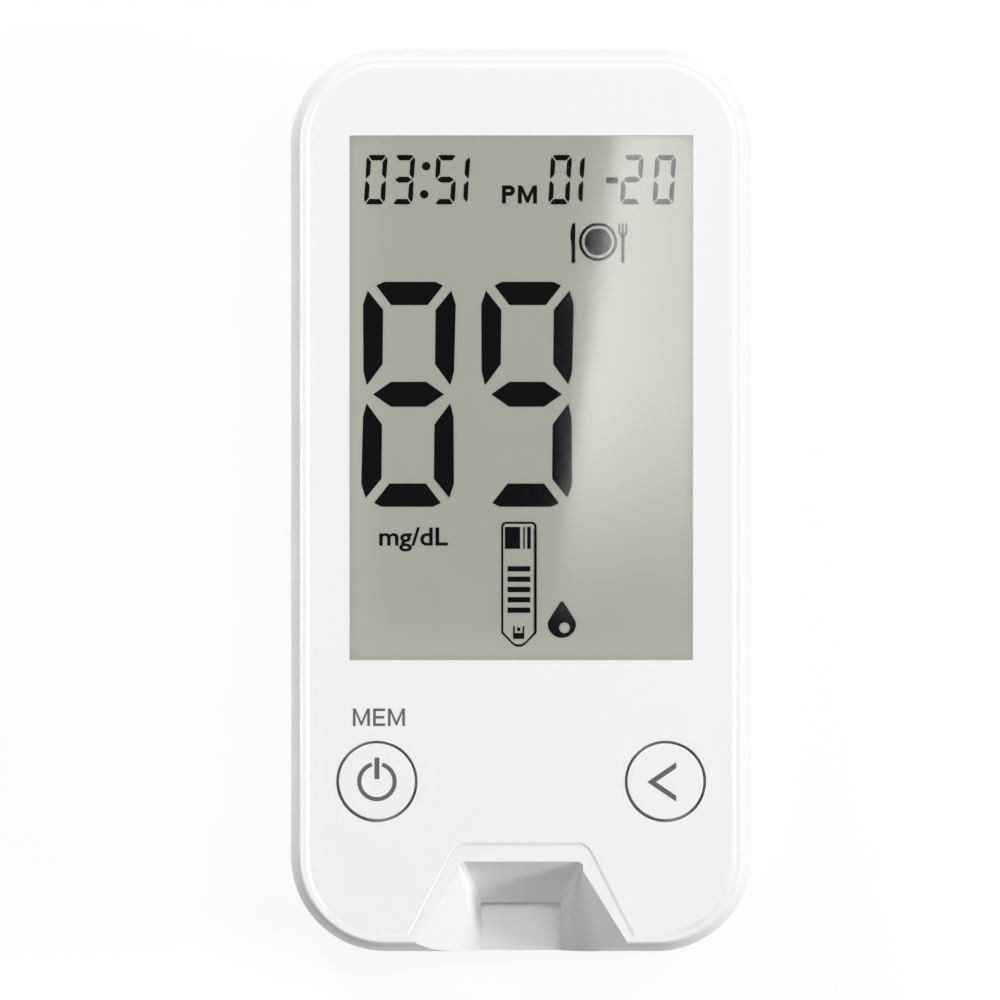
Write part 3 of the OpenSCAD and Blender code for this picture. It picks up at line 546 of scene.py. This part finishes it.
def bar_outlines(w, h, b, grow):
    """Bars from half width w, half height h and thickness b, grown lengthwise into the gaps."""
    tip, side = w - 0.22 * b, w - 0.97 * b
    top = [(w - 1.35 * b + grow, h - 1.12 * b), (w - 0.62 * b + grow, h - 0.18 * b)]
    top += [(w - b + grow / 2, h)]
    top += [(-x, y) for x, y in reversed(top)]
    foot = 1.5 * grow
    upper = [(tip, h - 0.42 * b), (side, h - 1.35 * b), (side, 1.45 * b - foot)]
    upper += [(tip, 0.43 * b - grow), (w - 0.05 * b, 1.1 * b - foot), (w, h - 1.1 * b)]
    reach = w + grow / 2
    middle = [(reach - 0.52 * b, 0), (reach - 1.38 * b, 0.6 * b), (1.38 * b - reach, 0.6 * b)]
    middle += [(-x, -y) for x, y in middle]
    return {
        "a": top,
        "d": [(x, -y) for x, y in reversed(top)],
        "g": middle,
        "b": upper,
        "c": [(x, -y) for x, y in reversed(upper)],
        "f": [(-x, y) for x, y in reversed(upper)],
        "e": [(-x, -y) for x, y in upper],
    }


def draw_figure(mesh, figure, centre, w, h, b, grow, lean):
    """One figure, from the bars that it needs, leaning by a share of its height."""
    outlines = bar_outlines(w, h, b, grow)
    for letter in BARS[figure]:
        moved = [(centre[0] + x + lean * y, centre[1] + y) for x, y in outlines[letter]]
        solid_plate(mesh, moved, DISPLAY_Z)


# %% The large reading
LARGE = {"w": 4.72, "h": 11.45, "b": 2.12, "grow": 0, "lean": 0.01}
READING_Y = 10.79
reading = bmesh.new()
for figure, across in (("8", -11.46), ("9", 0.57)):
    draw_figure(reading, figure, (across, READING_Y), **LARGE)
keep_on_display("reading", reading)

# %% [markdown]
# ## Clock and date
# The top row shows the time and the day in small figures. Its colon and dash are filled outlines
# like the bars. The time and date are made up.

# %% Clock and date
SMALL = {"w": 1.08, "h": 2.52, "b": 0.5, "grow": 0.12, "lean": 0.06}
ROW_Y = 32.63
DOT_RADIUS = 0.43
time_figures = (("0", -14.79), ("3", -11.98), ("5", -7.69), ("1", -6.38))
date_figures = (("0", 3.97), ("1", 5.31), ("2", 11.27), ("0", 14.58))
clock = bmesh.new()
for figure, across in time_figures + date_figures:
    draw_figure(clock, figure, (across, ROW_Y), **SMALL)
for spot in ((-9.86, 31.14), (-9.66, 34.0)):
    solid_plate(clock, circle(spot, DOT_RADIUS, 24), DISPLAY_Z)
dash = [(8.66, 32.26), (9.87, 32.26), (9.87, 32.86), (8.66, 32.86)]
solid_plate(clock, dash, DISPLAY_Z)
keep_on_display("clock_and_date", clock)


# %% [markdown]
# ## Words
# The unit of the reading is a plain word in small letters. Blender's own built-in type gives
# the letter shapes. They are turned into a mesh, and fitted into the box that they should fill,
# so the height and width are exact whatever the type's own spacing is.


# %% Words fitted to a box
MERGE_WITHIN = 1e-5


def letters(name, words, low_left, high_right, weight):
    """Words on the display that fill the box from low_left to high_right, in millimetres."""
    curve = bpy.data.curves.new(name + "_type", "FONT")
    curve.body = words
    curve.extrude = 0.5
    curve.offset = weight
    holder = bpy.data.objects.new(name + "_type", curve)
    bpy.context.scene.collection.objects.link(holder)
    bpy.context.view_layer.update()
    shaped = holder.evaluated_get(bpy.context.evaluated_depsgraph_get())
    typed = bpy.data.meshes.new_from_object(shaped)
    bpy.data.objects.remove(holder)
    mesh = bmesh.new()
    mesh.from_mesh(typed)
    bmesh.ops.remove_doubles(mesh, verts=mesh.verts, dist=MERGE_WITHIN)
    spans = [[v.co[axis] for v in mesh.verts] for axis in (0, 1)]
    for v in mesh.verts:
        for axis in (0, 1):
            low, high = min(spans[axis]), max(spans[axis])
            share = (v.co[axis] - low) / (high - low)
            room = high_right[axis] - low_left[axis]
            v.co[axis] = (low_left[axis] + share * room) * MM
        v.co.z = DISPLAY_Z + (INK if v.co.z > 0 else 0)
    keep_on_display(name, mesh)


letters("unit", "mg/dL", (-14.44, -5.2), (-7.46, -2.74), 0.018)

# %% [markdown]
# ## Capitals drawn as outlines
# The half of the day and the name of a key need three capitals with a stroke of a set width,
# which the built-in type can't promise: it folds over itself when it is thickened. They are
# plain outlines in millimetres, so the stroke is exact. The bowl of the P is a bent band that
# butts against its stem.


# %% Capitals with a set stroke
def bar(left, right, low, high):
    return [(left, low), (right, low), (right, high), (left, high)]


def capital_m(w, h, s):
    """Half of the outline of an M is enough: the other half is its mirror."""
    half = [(0, 0), (s, 0), (s, h - 1.7 * s), (w / 2 - 0.3 * s, 0.04 * h)]
    notch = [(1.05 * s, h), (0, h)]
    mirrored = [(w - x, y) for x, y in reversed(half)]
    return half + mirrored + [(w - x, y) for x, y in reversed(notch)] + [(w / 2, 1.7 * s)] + notch


def capital_e(w, h, s):
    arm = 0.92 * w
    lower = [(0, 0), (w, 0), (w, s), (s, s), (s, (h - s) / 2), (arm, (h - s) / 2)]
    return lower + [(x, h - y) for x, y in reversed(lower)]


def draw_capitals(name, parts, corner, h, s, level, material, slot):
    """Capitals from a list of letter, left edge and width."""
    mesh = bmesh.new()
    for letter, left, w in parts:
        if letter == "P":
            outline = bar(0, s, 0, h)
            bowl = 0.29 * h
            middle = (w - bowl, h - bowl)
            loops = [arc(middle, r, -90, 90, 16) for r in (bowl, bowl - s)]
            loops = [[(s, loop[0][1])] + loop + [(s, loop[-1][1])] for loop in loops]
            loops = [[(corner[0] + left + x, corner[1] + y) for x, y in loop] for loop in loops]
            band_plate(mesh, loops[0], loops[1], level, closed=False)
        else:
            outline = (capital_m if letter == "M" else capital_e)(w, h, s)
        moved = [(corner[0] + left + x, corner[1] + y) for x, y in outline]
        solid_plate(mesh, moved, level)
    keep_piece(name, mesh, material, "case", slot)


draw_capitals(
    "half_of_day", [("P", 0, 1.32), ("M", 1.62, 1.95)], (-1.95, 30.2), 1.85, 0.41,
    DISPLAY_Z, segment_ink, "display_grey",
)
draw_capitals(
    "memory_mark", [("M", 0, 1.73), ("E", 2.06, 1.22), ("M", 3.56, 1.73)], (-17.09, -22.92),
    1.78, 0.27, FACE_Z, print_ink, "case_white",
)

# %% [markdown]
# ## Signs on the display
# Three small signs tell the user what to do. A plate with knife and fork marks a reading that
# was taken around a meal. The plate is a ring with a disc inside, and the cutlery is filled
# outlines.

# %% Plate with knife and fork
PLATE_AT = (7.83, 26.3)
RING_OUT, RING_IN, DISC = (circle(PLATE_AT, radius, 60) for radius in (1.96, 1.64, 1.38))
meal = bmesh.new()
band_plate(meal, RING_OUT, RING_IN, DISPLAY_Z)
solid_plate(meal, DISC, DISPLAY_Z)
blade = [(5.12, 24.15), (5.52, 24.15), (5.52, 28.0), (5.44, 28.3), (5.2, 28.1)]
blade += [(5.04, 27.5), (5.0, 26.6), (5.12, 26.2)]
solid_plate(meal, blade, DISPLAY_Z)
fork = [(10.18, 24.15), (10.52, 24.15), (10.52, 26.75), (10.78, 27.15), (10.8, 28.2)]
fork += [(10.64, 28.2), (10.6, 27.25), (10.46, 27.15), (10.44, 28.2), (10.26, 28.2)]
fork += [(10.24, 27.15), (10.1, 27.25), (10.06, 28.2), (9.9, 28.2), (9.92, 27.15)]
fork += [(10.18, 26.75)]
solid_plate(meal, fork, DISPLAY_Z)
keep_on_display("meal_sign", meal)


# %% [markdown]
# ## Test strip and drop
# The strip stands on its tip, as it goes into the port: two blocks and a thin line for its
# contacts, five bars for its grip and a small cup for the blood. Its edge shows fainter, as a
# bar that is only half driven. The drop is a circle whose top is drawn up to a tip.


# %% Test strip
STRIP_X = -0.23
TIP_HALF, TIP_CUT_X, TIP_CUT_Y = 0.32, 0.4, 0.3


def strip_outline(half, top, shoulder, foot, corner):
    """A strip with rounded upper corners and a foot that narrows to a blunt tip."""
    line = arc((STRIP_X + half - corner, top - corner), corner, 0, 90, 6)
    line += arc((STRIP_X + corner - half, top - corner), corner, 90, 180, 6)
    cut = TIP_HALF + TIP_CUT_X
    right = [(TIP_HALF, foot), (cut, foot + TIP_CUT_Y), (half, shoulder)]
    line += [(STRIP_X - x, y) for x, y in reversed(right)]
    return line + [(STRIP_X + x, y) for x, y in right]


strip = bmesh.new()
outer = strip_outline(1.8, -2.18, -13.5, -14.9, 0.5)
inner = strip_outline(1.58, -2.4, -13.4, -14.64, 0.32)
band_plate(strip, outer, inner, DISPLAY_Z)
contact_sides = ((-1.66, -0.1), (0.22, 0.38), (0.62, 0.98))
contacts = [(left, right, -4.94, -2.7) for left, right in contact_sides]
HALF_BAR = 0.27
bar_levels = (-6.97, -8.03, -9.08, -10.12, -11.18)
grips = [(-1.38, 0.93, up - HALF_BAR, up + HALF_BAR) for up in bar_levels]
cup = [(-0.82, -0.64, -14.1, -12.8), (0.14, 0.32, -14.1, -12.8), (-0.64, 0.14, -14.1, -13.5)]
blood = (-0.42, -0.08, -13.3, -12.95)
for sides in contacts + grips + cup + [blood]:
    solid_plate(strip, bar(*sides), DISPLAY_Z)
keep_on_display("strip_sign", strip)

edge = bmesh.new()
edge_lines = [(1.27, -2.9), (1.27, -13.45)], [(1.6, -2.75), (1.6, -13.35)]
band_plate(edge, *edge_lines, DISPLAY_Z, closed=False)
keep_on_display("strip_sign_edge", edge, faint_ink)


# %% Drop
DROP_POINTS = 40


def drop_loop(tip, centre, radius):
    """A circle whose top is drawn up by tip, and slimmed on the way."""
    points = []
    for x, y in circle(centre, radius, DROP_POINTS, 90):
        rise = max(0.0, (y - centre[1]) / radius)
        pull = rise**2.2
        slim = 1 - 0.6 * rise**1.5
        points.append((centre[0] + (x - centre[0]) * slim, y + pull * tip))
    return points


drop = bmesh.new()
body_loop = drop_loop(0.85, (4.15, -12.55), 1.45)
hole_loop = circle((4.42, -12.98), 0.54, DROP_POINTS, 90)
band_plate(drop, body_loop, hole_loop, DISPLAY_Z)
keep_on_display("drop_sign", drop)

# %% [markdown]
# ## Marks on the keys
# The left key carries the usual mark for power, a broken ring with a bar, and the right key an
# arrowhead. They are printed, so each mark is a thin plate that travels down with its key.


# %% Mark for power
def top_of(name):
    """The middle of a part's top, in millimetres across and metres up."""
    low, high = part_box(name)
    return (low.x + high.x) / 2 / MM, (low.y + high.y) / 2 / MM, high.z


STROKE = 0.5
RING_RADIUS, RING_STROKE = 1.8, 0.42
RING_FROM, RING_TO = 107, 433
STEM_LOW, STEM_HIGH = 0.24, 2.42
x, y, key_top = top_of("power_key")
power = bmesh.new()
radii = (RING_RADIUS + RING_STROKE / 2, RING_RADIUS - RING_STROKE / 2)
rings = [arc((x, y), radius, RING_FROM, RING_TO, 48) for radius in radii]
band_plate(power, *rings, key_top, closed=False)
stem = bar(x - STROKE / 2, x + STROKE / 2, y + STEM_LOW, y + STEM_HIGH)
solid_plate(power, stem, key_top)
keep_piece("power_mark", power, print_ink, "power_key", "key_white")

# %% Arrowhead
REACH, RISE = 2.5, 1.7
TIP_LEFT, TIP_DOWN = 1.41, 0.05
x, y, key_top = top_of("arrow_key")
slope = math.atan2(RISE, REACH)
thick = STROKE / 2 / math.cos(slope)
point = STROKE / 2 / math.sin(slope)
outside = [(REACH, RISE + thick), (-point, 0), (REACH, -RISE - thick)]
inside = [(REACH, RISE - thick), (point, 0), (REACH, -RISE + thick)]
tip_x, tip_y = x - TIP_LEFT, y - TIP_DOWN
lines = [[(tip_x + a, tip_y + b) for a, b in line] for line in (outside, inside)]
head = bmesh.new()
band_plate(head, *lines, key_top, closed=False)
keep_piece("arrow_mark", head, print_ink, "arrow_key", "key_white")

# %% [markdown]
# ## Floor
# The meter lies on a white floor. The floor looks white to the camera, to shiny parts and
# through clear parts, but lights the object gently, so the white case keeps its edges. It is
# part glow and part plain paint, so that a soft shadow stays, and it is clear from below, so
# that the back can be looked at too.


# %% Floor
FLOOR_REACH = 4
FLOOR_GAP = 0.01 * MM
FLOOR_GLOW = 0.86
FLOOR_PAINT = (0.25, 0.25, 0.25, 1)


def white_floor():
    material, finish = new_finish("floor_white")
    path = finish.node("LightPath")
    seen = finish.sum("MAXIMUM", path, path.output("Is Glossy Ray"))
    seen = finish.sum("MAXIMUM", seen, path.output("Is Transmission Ray"))
    tone = finish.blend(seen, FLOOR_PAINT, WHITE)
    paint = finish.node("BsdfDiffuse", {}, {"Color": tone})
    glow = finish.node("Emission", {}, {"Strength": 1.0})
    lit = finish.node("MixShader", {}, {0: FLOOR_GLOW * seen, 1: paint, 2: glow})
    below = finish.node("NewGeometry").output("Backfacing")
    clear = finish.node("BsdfTransparent")
    finish.done(finish.node("MixShader", {}, {0: below, 1: lit, 2: clear}))
    sheet = bmesh.new()
    corners = bar(-FLOOR_REACH, FLOOR_REACH, -FLOOR_REACH, FLOOR_REACH)
    sheet.faces.new([sheet.verts.new((x, y, 0)) for x, y in corners])
    floor = add_object("floor", sheet, material)
    floor.location.z = cad_low.z - FLOOR_GAP
    floor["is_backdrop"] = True
    return floor


floor = white_floor()

# %% [markdown]
# ## Room
# The room is white to the camera too. For reflections its ceiling is dim: a flat window that
# faces it shows deep black figures. Its light is darker on the near left than on the far right,
# as in a studio with one window, so the corner that faces away from the light falls into grey.

# %% Room
CEILING_FROM, CEILING_TO = 0.45, 0.95
DARK_SIDE = 0.6


def white_room(ambient, ceiling):
    world = bpy.data.worlds.new("room")
    world.use_nodes = True
    bpy.context.scene.world = world
    room = Finish(world.node_tree)
    path = room.node("LightPath")
    seen = room.sum("MAXIMUM", path, path.output("Is Transmission Ray"))
    gloss = path.output("Is Glossy Ray")
    way = room.node("SeparateXYZ", {}, {0: room.node("TexCoord").output("Generated")})
    mirrored = room.ramp(way.output("Z"), CEILING_FROM, CEILING_TO, 1.0, ceiling)
    side = way + way.output("Y")
    unseen = gloss * mirrored + (1 - gloss) * (ambient * (1 + DARK_SIDE * side))
    strength = seen + (1 - seen) * unseen
    sky = room.node("Background", {}, {"Strength": strength})
    room.node("OutputWorld", {}, {"Surface": sky})
    print("room light:", ambient, "ceiling in reflections:", ceiling)


white_room(ambient=0.15, ceiling=0.05)


# %% [markdown]
# ## Soft lamps
# A soft lamp is a bright rectangle that faces the object. Its power is worked out from the
# light that should arrive, so 1 means that white paint turned to the lamp looks exactly white.


# %% A soft lamp
LAMP_AWAY = 1.2
LAMP_WIDE = 0.4


def soft_lamp(name, around, up, arriving, tall=LAMP_WIDE):
    """A lamp at an angle around the object and an angle up, in degrees."""
    lamp = bpy.data.lights.new(name, "AREA")
    lamp.shape = "RECTANGLE"
    lamp.size = LAMP_WIDE
    lamp.size_y = tall
    lamp.energy = arriving * (math.pi * LAMP_AWAY) ** 2
    holder = bpy.data.objects.new(name, lamp)
    around, up = math.radians(around), math.radians(up)
    way = Vector((math.cos(around), math.sin(around), 0)) * math.cos(up)
    way.z = math.sin(up)
    holder.location = way * LAMP_AWAY
    holder.rotation_euler = way.to_track_quat("Z", "Y").to_euler()
    holder.visible_camera = False
    bpy.context.scene.collection.objects.link(holder)
    print("lamp:", name, "arriving", arriving)
    return holder


# %% [markdown]
# ## Lamps in pairs
# Four soft lamps stand high, one for each side. Two stronger ones stand low, on the right and
# at the far end. They graze the sides and leave the near left corner and the strip port in
# grey, so the box reads as a solid. They aren't so low that the panel's tiny step throws a
# shadow over the rim.
# The display lies a little deeper than the face, and the edge of its opening would shade it. So
# each lamp is a pair: one lights the display and ignores the shadows of the cover and the
# gasket, the other lights all the rest in the usual way, and Blender's light linking says which
# is which. The low lamps are left out of reflections, since from some sides their glare would
# wash out the whole face. Two lamps under the floor light the back as if no floor were there,
# and they stay out of reflections too, so the outline seen from above isn't rimmed with light.


# %% Lamps in pairs
def linked_group(name, objects, state):
    """A group that tells a lamp what it lights, or what casts its shadows."""
    group = bpy.data.collections.new(name)
    for number, thing in enumerate(objects):
        group.objects.link(thing)
        group.collection_objects[number].light_linking.link_state = state
    return group


HIGH_FROM = 45
LOW_TALL = 0.2
UNDER_UP = -80
cover = frame["nodes"]["front_cover"]
shown = [frame["nodes"][name] for name in ("display_window", "lcd_front_film")]
shown += [thing for thing in bpy.data.objects if thing.get("on_display")]
shading = [cover, frame["nodes"]["lcd_gasket"]]
no_edges = linked_group("window_edges_cast_none", shading, "EXCLUDE")
on_display = linked_group("display_only", shown, "INCLUDE")
on_rest = linked_group("all_the_rest", shown, "EXCLUDE")
for name, around, up, arriving in (
    ("right", 25, 60, 0.27),
    ("far", 100, 60, 0.06),
    ("left", 180, 60, 0.105),
    ("near", 270, 60, 0.07),
    ("low_right", 355, 22, 0.7),
    ("low_far", 115, 22, 0.704),
):
    high = up > HIGH_FROM
    tall = LAMP_WIDE if high else LOW_TALL
    even = soft_lamp(name + "_even_lamp", around, up, arriving, tall)
    even.light_linking.receiver_collection = on_display
    even.light_linking.blocker_collection = no_edges
    usual = soft_lamp(name + "_lamp", around, up, arriving, tall)
    usual.light_linking.receiver_collection = on_rest
    even.visible_glossy = usual.visible_glossy = high
no_floor = linked_group("floor_casts_none", [floor], "EXCLUDE")
for name, around, arriving in (("under_left", 150, 0.45), ("under_right", 330, 0.36)):
    under = soft_lamp(name + "_lamp", around, UNDER_UP, arriving)
    under.light_linking.blocker_collection = no_floor
    under.visible_glossy = False
print("lit without edge shadows:", len(shown), "things")

# %% [markdown]
# ## Bright cards
# Photographers set up white cards whose reflections draw light lines on shiny things. Here a
# card is only there for reflections: it lights nothing, casts no shadow and isn't seen itself.
# Its glow can fade along and across it, which gives the reflection soft ends.


# %% A card that only shows in reflections
def bright_card(name, corners, height, glow, far_edge, start, rise):
    """A glow that fades to far_edge along X, and grows from start to full over rise along Y."""
    material, finish = new_finish(name + "_glow")
    at = finish.node("SeparateXYZ", {}, {0: finish.node("TexCoord").output("Generated")})
    across = finish.ramp(at, 0.0, 1.0, 1.0, far_edge)
    along = finish.ramp(at.output("Y"), 0.0, rise, start, 1.0)
    tone = finish.blend(across * along, BLACK, WHITE)
    finish.done(finish.node("Emission", {}, {"Color": tone, "Strength": glow}))
    mesh = bmesh.new()
    mesh.faces.new([mesh.verts.new((x * MM, y * MM, height)) for x, y in corners])
    card = add_object(name, mesh, material)
    for flag in ("camera", "diffuse", "shadow", "transmission", "volume_scatter"):
        setattr(card, "visible_" + flag, False)
    card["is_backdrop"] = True
    return card


# %% [markdown]
# ## Card for the panel's edge
# A narrow card that follows the left side, the near corner and the near side shows in the slope
# of the raised panel's edge as a thin light line. It is linked to the cover, so the window stays
# clear of it. One fault is left: the face mirrors the card too. Seen aslant from some sides, its
# left strip or its near end turns white and hardly stands out from the white room.

# %% Card for the panel's edge
CORNER_AT = (-13.8, -36.3)
NEAR, FAR = 15.1, 23.1
CARD_RIGHT, CARD_TOP = 18, 44
ABOVE_FACE = 6 * MM
along_near = [(CARD_RIGHT, CORNER_AT[1] - NEAR)] + arc(CORNER_AT, NEAR, 270, 180, 12)
along_left = [(CORNER_AT[0] - NEAR, CARD_TOP), (CORNER_AT[0] - FAR, CARD_TOP)]
back_again = arc(CORNER_AT, FAR, 180, 270, 12) + [(CARD_RIGHT, CORNER_AT[1] - FAR)]
outline = along_near + along_left + back_again
edge_card = bright_card("edge_card", outline, FACE_Z + ABOVE_FACE, 48.0, 1.0, 0.5, 0.35)
cover_only = linked_group("cover_only", [cover], "INCLUDE")
edge_card.light_linking.receiver_collection = cover_only

# %% [markdown]
# ## Camera
# A long lens looks straight down on the face from over a metre away, so that the sides hardly
# show and the outline stays true.

# %% Camera
EYE_UP = 1.2
EYE_X, EYE_Y = -2.15 * MM, 0.03 * MM
VIEW_WIDE = 101.8 * MM
OUTLINE_BELOW = 3 * MM
sight = bpy.data.cameras.new("camera")
sight.sensor_width = 36
sight.lens = sight.sensor_width * (EYE_UP + OUTLINE_BELOW) / VIEW_WIDE
sight.clip_start, sight.clip_end = 0.1, 20
camera = bpy.data.objects.new("camera", sight)
camera.location = (EYE_X, EYE_Y, FACE_Z + EYE_UP)
bpy.context.scene.collection.objects.link(camera)
bpy.context.scene.camera = camera
bpy.context.scene.view_settings.view_transform = "Standard"
print("lens in mm:", round(sight.lens, 1))


# %% [markdown]
# ## Streak over the window
# A tall card above the right side shows in the window as a slanted streak that greys the
# figures under it. The window is a flat mirror, so the line from the eye to a corner of the
# streak goes on upwards at the same slant, and the card's corner lies on it.


# %% Card for the streak
CARD_UP = 1.0


def card_point(x, y):
    """Where a card must be to be mirrored at a point of the window, in millimetres."""
    ratio = CARD_UP / EYE_UP
    return x + (x - EYE_X / MM) * ratio, y + (y - EYE_Y / MM) * ratio


spots = ((3.2, -12.0), (17.6, -16.3), (17.6, 37.3), (9.8, 37.3))
corners = [card_point(x, y) for x, y in spots]
bright_card("streak_card", corners, WINDOW_Z + CARD_UP, 13.0, 0.62, 0.0, 0.62)

# %% [markdown]
# ## Sizes
# The last step notes the box of the solid parts and of the finished object, and shows how much
# the ink adds.

# %% Measure what the ink adds
low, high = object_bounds()
print("grown by mm:", [round((b - a) / MM, 3) for a, b in zip(cad_high, high)])
